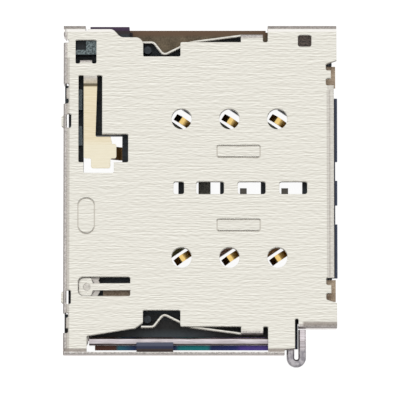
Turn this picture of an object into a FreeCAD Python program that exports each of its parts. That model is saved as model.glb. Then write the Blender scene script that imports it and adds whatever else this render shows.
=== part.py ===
import FreeCAD
import Part
import math
import os
from types import SimpleNamespace

import Sketcher

# Sim card reader for a pushed-in tray. X runs from the back wall to the tray mouth,
# Y from the rod side (near) to the other side (far), Z up from the board.
# Sizes in millimetres, angles in degrees.
SIZES = {
    # Stamped cover
    "shell_length": 14.50,
    "far_wall": 8.82,
    "near_wall": 8.70,
    "corner_wall": 7.28,
    "shell_height": 1.50,
    "sheet": 0.15,
    "bend": 0.25,
    "skirt": 0.10,
    "relief": 0.09,
    # Cut-outs along the far and near edges, which share their places along X
    "notch_back": -3.02,
    "notch_front": -1.04,
    "tab_back": 2.17,
    "tab_front": 3.34,
    "slot_front": 3.60,
    "far_cut_back": -6.08,
    "far_edge": 8.62,
    "far_step": -4.42,
    "far_shelf": 8.18,
    "far_rail": 7.92,
    "far_notch": 7.156,
    "far_tab": 8.35,
    "near_cut_back": -5.99,
    "near_start": 7.74,
    "near_rail": 7.235,
    "near_notch": 6.37,
    "near_tab": 7.64,
    "edge_round": 0.40,
    "notch_round": 0.08,
    # Rod corner of the cover
    "wall_end": 4.47,
    "slit_back": 5.02,
    "slit_front": 5.21,
    "slit_depth": 6.82,
    "hook_edge": 8.47,
    # Tray mouth
    "mouth_edge": 6.76,
    "lip_reach": 0.34,
    "lip_rise": 0.06,
    "lip_far": 5.61,
    "lip_near": 4.63,
    "stub_edge": 6.947,
    "mouth_relief": 6.68,
    "far_stub": 6.18,
    "near_stub": 5.24,
    "stub_width": 0.46,
    "mouth_notch": 1.13,
    "mouth_slope": 0.17,
    # Edge of the back wall
    "back_stub_inset": 0.16,
    "back_relief_depth": 0.28,
    "back_gap_far": 8.09,
    "back_gap_width": 0.38,
    "back_stub_far": 5.18,
    "back_stub_near": 7.02,
    "back_stub_width": 1.07,
    "back_relief_width": 0.26,
    # Solder feet under the walls
    "foot_width": 0.90,
    "far_foot": 5.30,
    "corner_foot": 6.30,
    "near_foot": -0.60,
    "near_back_foot": -6.50,
    "back_foot": -3.20,
    "back_far_foot": 1.40,
    # Windows of the cover
    "contact_hole": 0.53,
    "window_first": -0.20,
    "window_pitch": 2.205,
    "window_length": 1.47,
    "window_far": 0.45,
    "window_near": 0.185,
    "half_window": 0.56,
    "window_round": 0.12,
    "key_back": -6.61,
    "key_front": -5.50,
    "key_far": 8.01,
    "key_near": 7.04,
    "key_leg": 0.24,
    "key_leg_depth": 0.26,
    "key_tab_drop": 0.50,
    "port_back": 5.20,
    "port_front": 5.92,
    "port_far": 8.27,
    "port_near": 7.68,
    # Coined outlines on the cover
    "coin_width": 0.05,
    "coin_depth": 0.03,
    "coin_back": 0.88,
    "coin_front": 3.21,
    "coin_height": 0.66,
    "far_coin": 2.07,
    "near_coin": 1.85,
    "stadium_x": -6.03,
    "stadium_y": -1.35,
    "stadium_width": 0.92,
    "stadium_length": 1.92,
    # Switch arm of the cover
    "arm_root": 6.12,
    "arm_back": -6.18,
    "arm_width": 0.72,
    "arm_gap": 0.27,
    "arm_taper": 0.09,
    "arm_fold": 0.48,
    "arm_fold_tilt": 12,
    "arm_tilt": 4.0,
    "head_far": 2.76,
    "head_length": 1.15,
    "head_step": 0.38,
    "head_step_back": -4.75,
    "head_step_front": -4.66,
    "head_front": -4.44,
    "head_foot_back": -5.79,
    "head_foot_front": -4.76,
    "head_foot_length": 0.53,
    "head_round": 0.12,
    "arm_window_far": 2.99,
    "arm_window_front": -3.81,
    "arm_window_near": 1.51,
    "arm_window_foot": 0.95,
    "arm_window_foot_front": -4.57,
    # Hold-down tongue of the cover
    "tongue_root": -3.69,
    "tongue_end": -6.43,
    "tongue_neck": 0.37,
    "tongue_head": 0.93,
    "tongue_head_length": 0.66,
    "tongue_round": 0.27,
    "tongue_shear": 0.03,
    "tongue_tilt": 5.0,
    "dimple_radius": 0.20,
    "dimple_depth": 0.05,
    # Detent leaf springs of the cover
    "leaf": 0.12,
    "leaf_foot": 0.58,
    "leaf_top": 1.24,
    "leaf_knee": -0.55,
    "leaf_knee_dip": 0.36,
    "leaf_valley": -1.93,
    "leaf_valley_dip": 1.04,
    "leaf_rise": -2.47,
    "leaf_end": -3.12,
    "leaf_bend": 0.25,
    "leaf_sweep": 1.20,
    # Latch bumps on the back wall
    "far_latch": 3.71,
    "near_latch": -5.66,
    "latch_width": 0.72,
    "latch_reach": 0.11,
    "latch_height": 0.60,
    "latch_hole": 0.27,
    # Moulded housing
    "floor_top": 0.50,
    "fit": 0.02,
    "house_mouth": 7.02,
    "house_ledge": 7.20,
    "house_lip": 7.31,
    "house_lip_top": 0.42,
    "lip_one_far": 5.02,
    "lip_one_near": 1.65,
    "lip_two_far": 0.62,
    "lip_two_near": -0.68,
    "lip_three_far": -1.71,
    "lip_three_near": -4.57,
    "far_floor": 7.02,
    "far_floor_back": -3.60,
    "far_floor_front": 3.68,
    "far_block_near": 7.28,
    "far_block_front": -3.75,
    "shoulder_back": -5.83,
    "shoulder_far": 8.77,
    "shoulder_top": 1.20,
    "stop_x": -2.78,
    "far_stop": 7.52,
    "near_stop": 6.82,
    "stop_radius": 0.20,
    "guide_near": 7.48,
    "corner_block_far": 6.66,
    "bed_near": 8.34,
    "back_rib": 0.72,
    "back_rib_top": 1.00,
    "rib_one_far": 5.45,
    "rib_one_near": 4.35,
    "rib_two_far": 3.50,
    "rib_two_near": 2.45,
    "post_width": 0.30,
    "post_far": -6.95,
    "key_pocket": 0.30,
    "back_tab": 0.06,
    # Openings in the floor
    "cell_half": 0.55,
    "cell_lead": 0.66,
    "cell_root": 0.08,
    "view_far": 0.62,
    "view_near": 0.35,
    "view_one": -1.75,
    "view_one_end": -1.15,
    "view_gap": -0.45,
    "view_gap_end": -0.08,
    "view_two": 0.56,
    "view_two_end": 1.07,
    "view_three": 1.95,
    "view_last_length": 1.29,
    "sight_back": -5.16,
    "sight_far": 5.20,
    "sight_near": 5.62,
    "switch_back": -6.20,
    "switch_far": 3.02,
    "switch_near": 0.86,
    # Card contacts
    "tip_first": -0.977,
    "tip_pitch": 2.537,
    "far_row": 3.80,
    "near_row": 3.57,
    "strip": 0.12,
    "beam_width": 0.36,
    "beam_angle": 34,
    "beam_reach": 2.955,
    "beam_rise": 0.98,
    "beam_flat": 0.30,
    "tip_plateau": 0.14,
    "tip_lead": 0.40,
    "tip_drop": 0.34,
    "tail_first": 2.31,
    "tail_start": 0.36,
    "far_tail": 3.20,
    "near_tail": 3.82,
    # Switch terminal
    "switch_tip": -5.02,
    "switch_y": 2.09,
    "switch_width": 0.70,
    "switch_reach": 0.80,
    "switch_rise": 0.90,
    "switch_tail": 1.30,
    # Base frame
    "frame_gauge": 0.15,
    "frame_back": 7.00,
    "frame_far": 8.60,
    "frame_flange": 8.70,
    "frame_near": 8.40,
    "frame_mouth": 6.95,
    "frame_far_bar": 6.95,
    "frame_near_bar": 6.60,
    "frame_back_bar": 0.60,
    "frame_pin_front": -3.50,
    "frame_pin_far": -4.25,
    "frame_tab": 7.22,
    "frame_tab_back": 6.30,
    "frame_tab_width": 1.16,
    "frame_corner": 4.40,
    "drain_back": -6.05,
    "drain_front": -5.58,
    "drain_far": 7.90,
    # Eject rod
    "rod_gauge": 0.40,
    "rod_y": 7.98,
    "rod_foot": 0.30,
    "rod_height": 0.77,
    "rod_end": -5.87,
    "rod_stop": 0.12,
    "hook_gap": 0.22,
    "hook_reach": 9.34,
    "pad_top": 7.36,
    "rod_bend": 0.30,
    "rod_edge": 0.08,
    "slide_gap": 0.03,
    "rod_gap": 0.065,
    # Keeper of the rod
    "keeper_back": -3.36,
    "keeper_front": -1.42,
    "keeper_floor": 0.12,
    "keeper_lip": 0.14,
    "keeper_lip_height": 0.20,
    # Eject lever and its pin
    "pivot_x": -6.00,
    "pivot_y": -5.10,
    "pin_radius": 0.30,
    "pin_play": 0.03,
    "pin_head": 0.46,
    "pin_head_height": 0.06,
    "pin_boss": 0.15,
    "lever_gauge": 0.30,
    "lever_hub": 0.72,
    "lever_arm_width": 0.80,
    "nose_radius": 0.30,
    "nose_gap": 0.05,
    "lever_tip_x": 2.33,
    "lever_tip_y": 4.65,
    "lever_tip_radius": 0.30,
}

doc = FreeCAD.newDocument("sim_card_reader")
sheet = doc.addObject("Spreadsheet::Sheet", "Sizes")
for row, (name, number) in enumerate(SIZES.items(), start=1):
    sheet.set("A%d" % row, name)
    sheet.set("B%d" % row, str(number))
    sheet.setAlias("B%d" % row, name)
doc.recompute()


class Size:
    """A number together with the sheet expression that it comes from."""

    def __init__(self, number, text):
        self.number = number
        self.text = text

    def join(self, other, sign, number):
        return Size(number, "(%s %s %s)" % (self.text, sign, other.text))

    def __add__(self, other):
        other = size(other)
        return self.join(other, "+", self.number + other.number)

    def __sub__(self, other):
        other = size(other)
        return self.join(other, "-", self.number - other.number)

    def __mul__(self, other):
        other = size(other)
        return self.join(other, "*", self.number * other.number)

    def __truediv__(self, other):
        other = size(other)
        return self.join(other, "/", self.number / other.number)

    def __neg__(self):
        return size(0) - self


def size(given):
    return given if isinstance(given, Size) else Size(float(given), "%.6g" % given)


def cosine(angle):
    return Size(math.cos(math.radians(angle.number)), "cos(%s)" % angle.text)


def sine(angle):
    return Size(math.sin(math.radians(angle.number)), "sin(%s)" % angle.text)


def length_of(across, along):
    text = "sqrt(%s * %s + %s * %s)" % (across.text, across.text, along.text, along.text)
    return Size(math.hypot(across.number, along.number), text)


d = SimpleNamespace(**{name: Size(number, "Sizes." + name) for name, number in SIZES.items()})


# Sketches and features
def new_body(name):
    body = doc.addObject("PartDesign::Body", name)
    body.Label = name
    return body


def new_sketch(body, name, role="XY_Plane", lift=0, shift=(0, 0), turn_axis=None, turn=None):
    """A sketch on one of the body's own planes, lifted along the normal and turned about an axis."""
    sketch = body.newObject("Sketcher::SketchObject", name)
    plane = [item for item in body.Origin.OriginFeatures if item.Role == role][0]
    sketch.AttachmentSupport = [(plane, "")]
    sketch.MapMode = "FlatFace"
    place = [size(shift[0]), size(shift[1]), size(lift)]
    rotation = FreeCAD.Rotation()
    if turn_axis:
        rotation = FreeCAD.Rotation(FreeCAD.Vector(*turn_axis), turn.number)
    sketch.AttachmentOffset = FreeCAD.Placement(FreeCAD.Vector(*[p.number for p in place]), rotation)
    for letter, part in zip("xyz", place):
        sketch.setExpression("AttachmentOffset.Base." + letter, part.text)
    if turn_axis:
        sketch.setExpression("AttachmentOffset.Rotation.Angle", turn.text)
    return sketch


def bind(sketch, *pairs):
    """Adds constraints, each with the size from the sheet that it follows."""
    indices = sketch.addConstraint([constraint for constraint, given in pairs])
    for index, (constraint, given) in zip(indices, pairs):
        sketch.setExpression("Constraints[%d]" % index, size(given).text)


def draw(sketch, corners, closed=True):
    """Straight lines from corner to corner; a third value rounds the corner to that radius."""
    count = len(corners)
    first = sketch.GeometryCount
    points = [FreeCAD.Vector(size(c[0]).number, size(c[1]).number, 0) for c in corners]
    lines = count if closed else count - 1
    ends = [(points[i], points[(i + 1) % count]) for i in range(lines)]
    sketch.addGeometry([Part.LineSegment(a, b) for a, b in ends], False)
    joints = range(lines) if closed else range(lines - 1)
    sketch.addConstraint(
        [Sketcher.Constraint("Coincident", first + i, 2, first + (i + 1) % lines, 1) for i in joints]
    )
    places = []
    for i, corner in enumerate(corners):
        line, end = (first + i, 1) if i < lines else (first + i - 1, 2)
        for kind, given in zip(("DistanceX", "DistanceY"), corner[:2]):
            places.append((Sketcher.Constraint(kind, -1, 1, line, end, size(given).number), given))
    bind(sketch, *places)
    rounds = []
    for i, corner in enumerate(corners):
        if len(corner) == 3:
            arc = sketch.GeometryCount
            sketch.fillet(first + i, 1, size(corner[2]).number, True, True)
            rounds.append((Sketcher.Constraint("Radius", arc, size(corner[2]).number), corner[2]))
    if rounds:
        bind(sketch, *rounds)


def draw_circle(sketch, x, y, radius):
    centre = FreeCAD.Vector(size(x).number, size(y).number, 0)
    circle = Part.Circle(centre, FreeCAD.Vector(0, 0, 1), size(radius).number)
    index = sketch.addGeometry(circle, False)
    bind(
        sketch,
        (Sketcher.Constraint("DistanceX", -1, 1, index, 3, size(x).number), x),
        (Sketcher.Constraint("DistanceY", -1, 1, index, 3, size(y).number), y),
        (Sketcher.Constraint("Radius", index, size(radius).number), radius),
    )


def box_corners(back, front, near, far, radius=None):
    spots = [(back, near), (front, near), (front, far), (back, far)]
    return [spot + (radius,) if radius else spot for spot in spots]


def grow(body, kind, name, sketch, length, reverse=False, middle=False):
    """A pad or a pocket of a sketch. The change of volume shows that it did its work."""
    before = body.Shape.Volume if body.Tip else 0
    feature = body.newObject("PartDesign::" + kind, name)
    feature.Profile = sketch
    feature.Reversed = reverse
    if middle:
        feature.Midplane = True
    feature.setExpression("Length", size(length).text)
    sketch.Visibility = False
    doc.recompute()
    gain = feature.Shape.Volume - before
    if (gain <= 1e-6) if kind == "Pad" else (gain >= -1e-6):
        raise RuntimeError("%s of %s changed the volume by %.6f" % (name, body.Label, gain))
    return feature


def pad(body, name, sketch, length, reverse=False, middle=False):
    return grow(body, "Pad", name, sketch, length, reverse, middle)


def pocket(body, name, sketch, length, reverse=False):
    return grow(body, "Pocket", name, sketch, length, reverse)


def prism(body, name, foot, top, *outlines):
    """Outlines drawn flat at one height and padded up to another."""
    sketch = new_sketch(body, name + "_plan", lift=foot)
    for corners in outlines:
        draw(sketch, corners)
    return pad(body, name, sketch, size(top) - foot)


def cut(body, name, foot, top, *outlines, circles=()):
    """Outlines and circles drawn flat at one height and cut up to another."""
    sketch = new_sketch(body, name + "_plan", lift=foot)
    for corners in outlines:
        draw(sketch, corners)
    for x, y, radius in circles:
        draw_circle(sketch, x, y, radius)
    return pocket(body, name, sketch, size(top) - foot, reverse=True)


def on_line(edge, **place):
    """True when both ends of the edge have the given coordinates."""
    return all(
        abs(getattr(vertex.Point, axis) - given.number) < 1e-4
        for vertex in edge.Vertexes
        for axis, given in place.items()
    )


def round_edges(body, name, radius, *places):
    names = [
        "Edge%d" % (i + 1)
        for i, edge in enumerate(body.Tip.Shape.Edges)
        if any(on_line(edge, **place) for place in places)
    ]
    base = body.Tip
    fillet = body.newObject("PartDesign::Fillet", name)
    fillet.Base = (base, names)
    fillet.setExpression("Radius", size(radius).text)
    doc.recompute()
    return fillet


def sweep(body, name, path, profile):
    pipe = body.newObject("PartDesign::AdditivePipe", name)
    pipe.Profile = profile
    pipe.Spine = path
    path.Visibility = False
    profile.Visibility = False
    doc.recompute()
    return pipe


# Shared places
back = -d.shell_length / 2
front = d.shell_length / 2
plate_under = d.shell_height - d.sheet
house_back = back + d.bend + d.fit
house_far = d.far_wall - d.bend - d.fit
house_near = -d.near_wall + d.bend + d.fit
house_corner = -d.corner_wall + d.bend + d.fit
above = d.shell_height + d.bend
tips = [d.tip_first + d.tip_pitch * i for i in range(3)]
tails = [d.tail_first + d.window_pitch * i for i in range(3)]
beam_cos = cosine(d.beam_angle)
beam_sin = sine(d.beam_angle)
rod_inner = -d.rod_y + d.rod_gauge / 2
rod_outer = -d.rod_y - d.rod_gauge / 2
rod_top = d.rod_foot + d.rod_height
boss_top = d.floor_top + d.pin_boss
lever_foot = boss_top + d.slide_gap
lever_top = lever_foot + d.lever_gauge
pin_head_foot = lever_top + d.slide_gap
switch_root = d.switch_tip + d.switch_reach

# Cover: a drawn tray of sheet, open at the mouth
shell = new_body("top_shell")
prism(
    shell,
    "blank",
    d.skirt,
    d.shell_height,
    [
        (back, -d.near_wall),
        (d.slit_back, -d.near_wall),
        (d.slit_back, -d.slit_depth, d.relief),
        (d.slit_front, -d.slit_depth, d.relief),
        (d.slit_front, -d.corner_wall),
        (front, -d.corner_wall),
        (front, d.far_wall),
        (back, d.far_wall),
    ],
)
round_edges(
    shell,
    "outer_bends",
    d.bend,
    {"x": back, "z": d.shell_height},
    {"y": d.far_wall, "z": d.shell_height},
    {"y": -d.near_wall, "z": d.shell_height},
    {"y": -d.corner_wall, "z": d.shell_height},
)
inner_back = back + d.sheet
inner_far = d.far_wall - d.sheet
inner_near = -d.near_wall + d.sheet
inner_corner = -d.corner_wall + d.sheet
slit_middle = (d.slit_back + d.slit_front) / 2
cut(
    shell,
    "hollow",
    d.skirt,
    plate_under,
    [
        (inner_back, inner_near),
        (slit_middle, inner_near),
        (slit_middle, inner_corner),
        (front + d.bend, inner_corner),
        (front + d.bend, inner_far),
        (inner_back, inner_far),
    ],
)
round_edges(
    shell,
    "inner_bends",
    d.bend - d.sheet,
    {"x": inner_back, "z": plate_under},
    {"y": inner_far, "z": plate_under},
    {"y": inner_near, "z": plate_under},
    {"y": inner_corner, "z": plate_under},
)

# Solder feet that reach down to the board
half_foot = d.foot_width / 2
foot_top = d.skirt + d.fit
prism(
    shell,
    "feet",
    0,
    foot_top,
    box_corners(d.far_foot - half_foot, d.far_foot + half_foot, inner_far, d.far_wall),
    box_corners(d.near_foot - half_foot, d.near_foot + half_foot, -d.near_wall, inner_near),
    box_corners(d.near_back_foot - half_foot, d.near_back_foot + half_foot, -d.near_wall, inner_near),
    box_corners(d.corner_foot - half_foot, d.corner_foot + half_foot, -d.corner_wall, inner_corner),
    box_corners(back, inner_back, d.back_foot - half_foot, d.back_foot + half_foot),
    box_corners(back, inner_back, d.back_far_foot - half_foot, d.back_far_foot + half_foot),
)

# Cut-outs that open the far and near edges round the leaf springs
far_out = d.far_wall + d.bend
far_cutout = [
    (d.far_cut_back, far_out),
    (d.far_cut_back, d.far_edge - d.relief),
    (d.far_cut_back + d.relief + d.fit, d.far_edge - d.relief),
    (d.far_cut_back + d.relief + d.fit, d.far_edge),
    (d.far_step - d.edge_round / 2, d.far_edge, d.edge_round),
    (d.far_step + d.edge_round / 2, d.far_shelf, d.edge_round),
    (d.notch_back, d.far_shelf, d.edge_round),
    (d.notch_back, d.far_notch, d.notch_round),
    (d.notch_front, d.far_notch, d.notch_round),
    (d.notch_front, d.far_rail, d.relief),
    (d.tab_back, d.far_rail),
    (d.tab_back, d.far_tab),
    (d.tab_front, d.far_tab),
    (d.tab_front, d.far_rail, d.relief),
    (d.slot_front, d.far_rail, d.relief),
    (d.slot_front, far_out),
]
near_cutout = [
    (d.near_cut_back, inner_near),
    (d.near_cut_back, -d.near_start, d.relief),
    (d.notch_back - d.edge_round, -d.near_rail - d.relief, d.relief),
    (d.notch_back, -d.near_rail + d.edge_round / 2, d.relief),
    (d.notch_back, -d.near_notch, d.notch_round),
    (d.notch_front, -d.near_notch, d.notch_round),
    (d.notch_front, -d.near_rail, d.relief),
    (d.tab_back, -d.near_rail),
    (d.tab_back, -d.near_tab),
    (d.tab_front, -d.near_tab),
    (d.tab_front, -d.near_rail, d.relief),
    (d.slot_front, -d.near_rail, d.relief),
    (d.slot_front, inner_near),
]
hook_cutout = [
    (d.wall_end, -d.near_wall - d.bend),
    (d.wall_end, -d.hook_edge),
    (slit_middle, -d.hook_edge + d.relief),
    (slit_middle, -d.near_wall - d.bend),
]
cut(shell, "far_cutout", 0, above, far_cutout)
cut(shell, "near_cutout", 0, above, near_cutout)
cut(shell, "hook_cutout", 0, above, hook_cutout)


def mouth_notch(centre, outer, sign):
    """One edge of the mouth round a cut-off carrier stub, from the corner block to the lip."""
    half_notch = d.mouth_notch / 2 * sign
    half_stub = d.stub_width / 2 * sign
    return [
        (outer, centre + half_notch + d.mouth_slope * sign),
        (front, centre + half_notch + d.mouth_slope * sign),
        (d.mouth_edge, centre + half_notch),
        (d.mouth_relief, centre + half_notch, d.relief),
        (d.mouth_relief, centre + half_stub, d.relief),
        (d.stub_edge, centre + half_stub),
        (d.stub_edge, centre - half_stub),
        (d.mouth_relief, centre - half_stub, d.relief),
        (d.mouth_relief, centre - half_notch, d.relief),
    ]


mouth_out = front + d.bend
mouth_far = mouth_notch(d.far_stub, mouth_out, 1)
mouth_near = mouth_notch(-d.near_stub, mouth_out, -1)
mouth_cutout = mouth_far + [(d.mouth_edge, d.lip_far), (d.mouth_edge, -d.lip_near)] + mouth_near[::-1]
cut(shell, "mouth", 0, above, mouth_cutout)

# Notches that part the back wall from its corner blocks, and the cut-off carrier stubs
back_out = back - d.bend
relief_x = back + d.back_relief_depth
stub_x = back + d.back_stub_inset


def back_notch(centre):
    far = centre + d.back_stub_width / 2
    near = centre - d.back_stub_width / 2
    return [
        (back_out, near),
        (relief_x, near, d.relief),
        (relief_x, near + d.back_relief_width, d.relief),
        (stub_x, near + d.back_relief_width),
        (stub_x, far - d.back_relief_width),
        (relief_x, far - d.back_relief_width, d.relief),
        (relief_x, far, d.relief),
        (back_out, far),
    ]


back_gap = [
    (back_out, d.back_gap_far + d.back_gap_width),
    (back, d.back_gap_far + d.back_gap_width / 2),
    (relief_x, d.back_gap_far - d.back_gap_width / 4),
    (relief_x, d.back_gap_far - d.back_gap_width / 2),
    (back_out, d.back_gap_far - d.back_gap_width / 2),
]
cut(shell, "back_notches", 0, above, back_gap, back_notch(d.back_stub_far), back_notch(-d.back_stub_near))

# Lead-in lip of the mouth
lip = new_sketch(shell, "lip_side", "XZ_Plane", lift=-d.lip_far)
lip_end = d.mouth_edge + d.lip_reach
draw(
    lip,
    [
        (d.mouth_edge, plate_under),
        (lip_end, plate_under + d.lip_rise),
        (lip_end, d.shell_height + d.lip_rise),
        (d.mouth_edge, d.shell_height),
    ],
)
pad(shell, "lip", lip, d.lip_far + d.lip_near)

# Latch bumps pressed out of the back wall, each beside a slot through the bend
for name, centre in (("far_latch", d.far_latch), ("near_latch", d.near_latch)):
    low = centre - d.latch_width / 2
    high = centre + d.latch_width / 2
    cut(
        shell,
        name + "_slot",
        plate_under - d.bend,
        above,
        box_corners(inner_back, inner_back + d.latch_hole, low, high, d.relief),
    )
    outer = back - d.latch_reach
    prism(
        shell,
        name,
        d.shell_height - d.bend - d.latch_height,
        d.shell_height - d.bend,
        [
            (back + d.sheet / 2, low),
            (back + d.sheet / 2, high),
            (outer, high - d.relief, d.relief),
            (outer, low + d.relief, d.relief),
        ],
    )


# Coined outlines
def ring(back_x, front_x, near_y, far_y, radius):
    outer = box_corners(back_x, front_x, near_y, far_y, radius)
    w = d.coin_width
    inner = box_corners(back_x + w, front_x - w, near_y + w, far_y - w, radius - w)
    return [outer, inner]


coin_foot = d.shell_height - d.coin_depth
half_coin = d.coin_height / 2
for name, y in (("far_coin", d.far_coin), ("near_coin", -d.near_coin)):
    outline = ring(d.coin_back, d.coin_front, y - half_coin, y + half_coin, d.window_round)
    cut(shell, name, coin_foot, d.shell_height, *outline)
half_width = d.stadium_width / 2
half_length = d.stadium_length / 2
outline = ring(
    d.stadium_x - half_width,
    d.stadium_x + half_width,
    d.stadium_y - half_length,
    d.stadium_y + half_length,
    half_width - d.fit,
)
cut(shell, "stadium_coin", coin_foot, d.shell_height, *outline)


# Detent leaf springs on edge
def leaf_spring(name, root, sign):
    """A leaf on edge: its root wall hangs from the tab, and its V reaches into the tray's path."""
    inside = root - d.leaf * sign
    low, high = (inside, root) if sign > 0 else (root, inside)
    prism(shell, name + "_root", d.leaf_foot, d.shell_height, box_corners(d.tab_back, d.tab_front, low, high))
    round_edges(shell, name + "_bend", d.bend, {"y": root, "z": d.shell_height})
    middle = root - d.leaf / 2 * sign
    path = new_sketch(shell, name + "_path", lift=(d.leaf_foot + d.leaf_top) / 2)
    draw(
        path,
        [
            (d.tab_front, middle),
            (d.tab_back, middle, d.leaf_sweep),
            (d.leaf_knee, middle - d.leaf_knee_dip * sign, d.leaf_sweep),
            (d.leaf_valley, middle - d.leaf_valley_dip * sign, d.leaf_bend),
            (d.leaf_rise, middle - d.leaf_knee_dip * sign, d.leaf_bend),
            (d.leaf_end, middle - d.leaf_knee_dip * sign),
        ],
        closed=False,
    )
    section = new_sketch(shell, name + "_section", "YZ_Plane", lift=d.tab_front)
    draw(section, box_corners(low, high, d.leaf_foot, d.leaf_top))
    sweep(shell, name, path, section)


leaf_spring("far_leaf", d.far_tab, 1)
leaf_spring("near_leaf", -d.near_tab, -1)


# Windows, contact holes and the openings round the two spring arms
def window(name, *outlines, circles=()):
    """An opening through the plate."""
    return cut(shell, name, plate_under - d.bend, above, *outlines, circles=circles)


def solder_window(start, length):
    return box_corners(start, start + length, -d.window_near, d.window_far, d.window_round)


half_start = d.window_first - d.window_pitch + d.window_length - d.half_window + d.relief
window(
    "solder_windows",
    solder_window(half_start, d.half_window),
    *[solder_window(d.window_first + d.window_pitch * i, d.window_length) for i in range(3)],
    box_corners(d.port_back, d.port_front, d.port_near, d.port_far, d.window_round),
)
key_window = [
    (d.key_back, d.key_near - d.key_leg_depth, d.notch_round),
    (d.key_back + d.key_leg, d.key_near - d.key_leg_depth, d.notch_round),
    (d.key_back + d.key_leg, d.key_near),
    (d.key_front - d.key_leg, d.key_near),
    (d.key_front - d.key_leg, d.key_near - d.key_leg_depth, d.notch_round),
    (d.key_front, d.key_near - d.key_leg_depth, d.notch_round),
    (d.key_front, d.key_far, d.notch_round),
    (d.key_back, d.key_far, d.notch_round),
]
arm_front = d.arm_back + d.arm_width
arm_window = [
    (d.arm_back - d.arm_gap, d.arm_root, d.notch_round),
    (arm_front + d.arm_gap, d.arm_root, d.notch_round),
    (arm_front + d.arm_gap, d.arm_window_far),
    (d.arm_window_front, d.arm_window_far, d.notch_round),
    (d.arm_window_front, d.arm_window_near, d.notch_round),
    (d.arm_window_foot_front, d.arm_window_near),
    (d.arm_window_foot_front, d.arm_window_foot, d.notch_round),
    (d.arm_back, d.arm_window_foot, d.notch_round),
    (d.arm_back, d.arm_window_near),
    (d.arm_back - d.arm_gap, d.arm_window_near, d.notch_round),
]
tongue_half = d.tongue_head / 2 + d.tongue_shear
tongue_back = d.tongue_end - d.tongue_shear
tongue_window = [
    (tongue_back, d.pivot_y - tongue_half, d.tongue_round + d.tongue_shear),
    (d.tongue_root, d.pivot_y - tongue_half, d.relief),
    (d.tongue_root, d.pivot_y + tongue_half, d.relief),
    (tongue_back, d.pivot_y + tongue_half, d.tongue_round + d.tongue_shear),
]
contact_spots = [(x, y, d.contact_hole) for x in tips for y in (d.far_row, -d.near_row)]
window("arm_windows", key_window, arm_window)
window("contact_holes", tongue_window, circles=contact_spots)

# Bent-down tab of the key window
prism(
    shell,
    "key_tab",
    d.shell_height - d.key_tab_drop,
    d.shell_height,
    box_corners(d.key_back + d.key_leg, d.key_front - d.key_leg, d.key_near - d.sheet, d.key_near),
)
round_edges(shell, "key_tab_bend", d.bend, {"y": d.key_near, "z": d.shell_height})

# Switch arm: a steep fold at its root, then a long gentle slope down to the head
across = (1, 0, 0)
fold = new_sketch(
    shell, "fold_plan", lift=d.shell_height, shift=(0, d.arm_root), turn_axis=across, turn=d.arm_fold_tilt
)
draw(fold, box_corners(d.arm_back, arm_front, -d.arm_fold, size(0)))
pad(shell, "arm_fold", fold, d.sheet, reverse=True)
slope_top = d.shell_height - d.arm_fold * sine(d.arm_fold_tilt)
slope_start = d.arm_root - d.arm_fold * cosine(d.arm_fold_tilt)
arm = new_sketch(
    shell, "arm_plan", lift=slope_top, shift=(0, slope_start), turn_axis=across, turn=d.arm_tilt
)
head_near = -d.head_far - d.head_length
step_near = -d.head_far - d.head_step
draw(
    arm,
    [
        (d.arm_back, d.sheet / 4),
        (arm_front, d.sheet / 4),
        (arm_front - d.arm_taper, -d.head_far, d.relief),
        (d.head_step_back, -d.head_far),
        (d.head_step_front, step_near),
        (d.head_front, step_near, d.head_round),
        (d.head_front, head_near, d.head_round),
        (d.head_foot_front, head_near, d.relief),
        (d.head_foot_front, head_near - d.head_foot_length, d.head_round),
        (d.head_foot_back, head_near - d.head_foot_length, d.head_round),
        (d.head_foot_back, head_near, d.relief),
        (d.arm_back, head_near, d.head_round),
    ],
)
pad(shell, "switch_arm", arm, d.sheet, reverse=True)

# Hold-down tongue over the lever's pin, with a pressed dimple
tongue = new_sketch(
    shell,
    "tongue_plan",
    lift=d.shell_height,
    shift=(d.tongue_root, d.pivot_y),
    turn_axis=(0, -1, 0),
    turn=d.tongue_tilt,
)
head_end = d.tongue_end - d.tongue_root
head_start = head_end + d.tongue_head_length
draw(
    tongue,
    [
        (0, -d.tongue_neck / 2),
        (0, d.tongue_neck / 2),
        (head_start + d.relief, d.tongue_neck / 2),
        (head_start, d.tongue_head / 2, d.relief),
        (head_end, d.tongue_head / 2, d.tongue_round),
        (head_end, -d.tongue_head / 2, d.tongue_round),
        (head_start, -d.tongue_head / 2, d.relief),
        (head_start + d.relief, -d.tongue_neck / 2),
    ],
)
pad(shell, "tongue", tongue, d.sheet, reverse=True)
dimple = new_sketch(
    shell,
    "dimple_plan",
    lift=d.shell_height,
    shift=(d.tongue_root, d.pivot_y),
    turn_axis=(0, -1, 0),
    turn=d.tongue_tilt,
)
draw_circle(dimple, d.pivot_x - d.tongue_root, 0, d.dimple_radius)
pocket(shell, "dimple", dimple, d.dimple_depth)


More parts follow.
